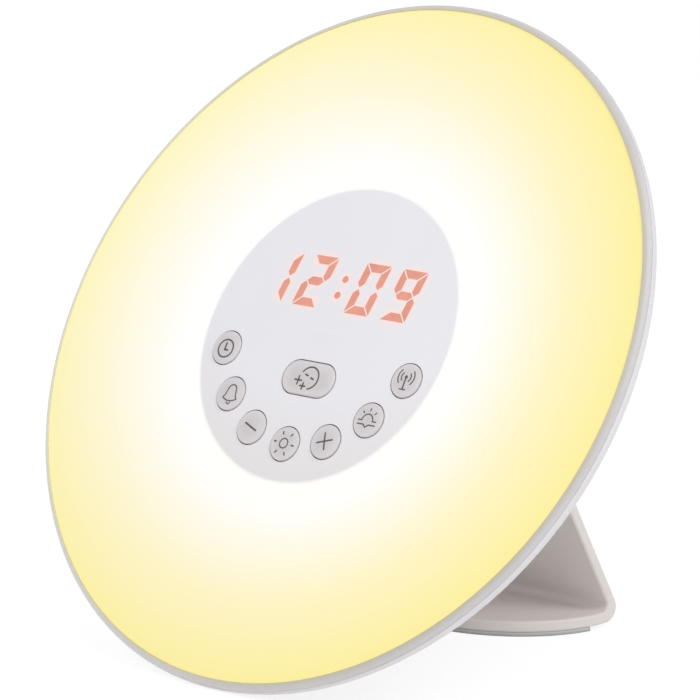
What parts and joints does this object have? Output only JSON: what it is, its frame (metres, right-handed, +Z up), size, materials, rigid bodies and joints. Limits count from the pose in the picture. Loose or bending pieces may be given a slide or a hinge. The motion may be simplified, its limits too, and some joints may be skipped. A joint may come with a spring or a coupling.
{
  "type": "sunrise alarm clock",
  "caption": "Round domed wake-up light with a centre clock panel, time display and press keys, leaning back on a bent-plate stand.",
  "frame": {"origin": "on the table, under the middle of the clock's overall box", "axes": "+Z up; the lit face looks towards -Y and leans back 31 degrees; +X to the right of someone facing it"},
  "size_m": [0.168, 0.107, 0.1448],
  "materials": {
    "rim_plastic": "satin moulded ABS",
    "housing_plastic": "satin moulded ABS",
    "stand_plastic": "satin moulded ABS",
    "lens_plastic": "milky polycarbonate",
    "panel_plastic": "satin, faintly translucent",
    "key_plastic": "satin",
    "digit_light": "lit light guides",
    "pad_rubber": "matte",
    "board": "solder mask",
    "lamp_board": "white solder mask",
    "switch_body": "moulded",
    "plunger": "moulded",
    "module_black": "moulded",
    "foam": "closed-cell foam",
    "reflector_white": "highly reflective white",
    "led_package": "moulded",
    "screw_steel": "zinc plated",
    "contact_nickel": "nickel plated",
    "chip_black": "moulded epoxy",
    "tin": "tin plated",
    "capacitor_can": "sleeved can",
    "ribbon": "flat flexible cable",
    "wire": "insulated wire",
    "speaker_steel": "painted basket",
    "magnet": "ferrite",
    "cone_paper": "pressed cone",
    "port_black": "moulded"
  },
  "bodies": {
    "clock_body": {"front_bezel": "rim_plastic", "diffuser": "lens_plastic", "control_panel": "panel_plastic", "display_digits": "digit_light", "display_colon": "digit_light", "rear_housing": "housing_plastic", "stand": "stand_plastic", "foot_pad": "pad_rubber", "display_module": "module_black", "display_gasket": "foam", "keypad_board": "board", "tact_switches": "switch_body", "switch_plungers": "plunger", "keypad_screws": "screw_steel", "reflector": "reflector_white", "led_ring_board": "lamp_board", "lamp_leds": "led_package", "main_board": "board", "main_chip": "chip_black", "tuner_shield": "tin", "capacitors": "capacitor_can", "board_screws": "screw_steel", "ribbon_cable": "ribbon", "speaker_frame": "speaker_steel", "speaker_magnet": "magnet", "speaker_cone": "cone_paper", "speaker_gasket": "foam", "speaker_wires": "wire", "battery_springs": "contact_nickel", "battery_contacts": "contact_nickel", "usb_shell": "tin", "usb_tongue": "port_black", "usb_board": "board", "usb_screws": "screw_steel", "aerial_grommet": "pad_rubber", "case_screws": "screw_steel", "stand_screws": "screw_steel"},
    "snooze_key": {"snooze_button": "key_plastic"},
    "clock_key": {"clock_button": "key_plastic"},
    "alarm_key": {"alarm_button": "key_plastic"},
    "minus_key": {"minus_button": "key_plastic"},
    "light_key": {"light_button": "key_plastic"},
    "plus_key": {"plus_button": "key_plastic"},
    "sunrise_key": {"sunrise_button": "key_plastic"},
    "radio_key": {"radio_button": "key_plastic"},
    "battery_cover": {"battery_door": "housing_plastic"}
  },
  "joints": [
    {"name": "snooze_press", "type": "slide", "parent": "clock_body", "child": "snooze_key", "axis": [0, 0.8572, -0.515], "range_m": [0, 0.0006], "stiffness_N_per_m": 600},
    {"name": "clock_press", "type": "slide", "parent": "clock_body", "child": "clock_key", "axis": [0, 0.8572, -0.515], "range_m": [0, 0.0006], "stiffness_N_per_m": 600},
    {"name": "alarm_press", "type": "slide", "parent": "clock_body", "child": "alarm_key", "axis": [0, 0.8572, -0.515], "range_m": [0, 0.0006], "stiffness_N_per_m": 600},
    {"name": "minus_press", "type": "slide", "parent": "clock_body", "child": "minus_key", "axis": [0, 0.8572, -0.515], "range_m": [0, 0.0006], "stiffness_N_per_m": 600},
    {"name": "light_press", "type": "slide", "parent": "clock_body", "child": "light_key", "axis": [0, 0.8572, -0.515], "range_m": [0, 0.0006], "stiffness_N_per_m": 600},
    {"name": "plus_press", "type": "slide", "parent": "clock_body", "child": "plus_key", "axis": [0, 0.8572, -0.515], "range_m": [0, 0.0006], "stiffness_N_per_m": 600},
    {"name": "sunrise_press", "type": "slide", "parent": "clock_body", "child": "sunrise_key", "axis": [0, 0.8572, -0.515], "range_m": [0, 0.0006], "stiffness_N_per_m": 600},
    {"name": "radio_press", "type": "slide", "parent": "clock_body", "child": "radio_key", "axis": [0, 0.8572, -0.515], "range_m": [0, 0.0006], "stiffness_N_per_m": 600},
    {"name": "battery_door_lift", "type": "slide", "parent": "clock_body", "child": "battery_cover", "axis": [0, 0.8572, -0.515], "range_m": [0, 0.016]}
  ]
}
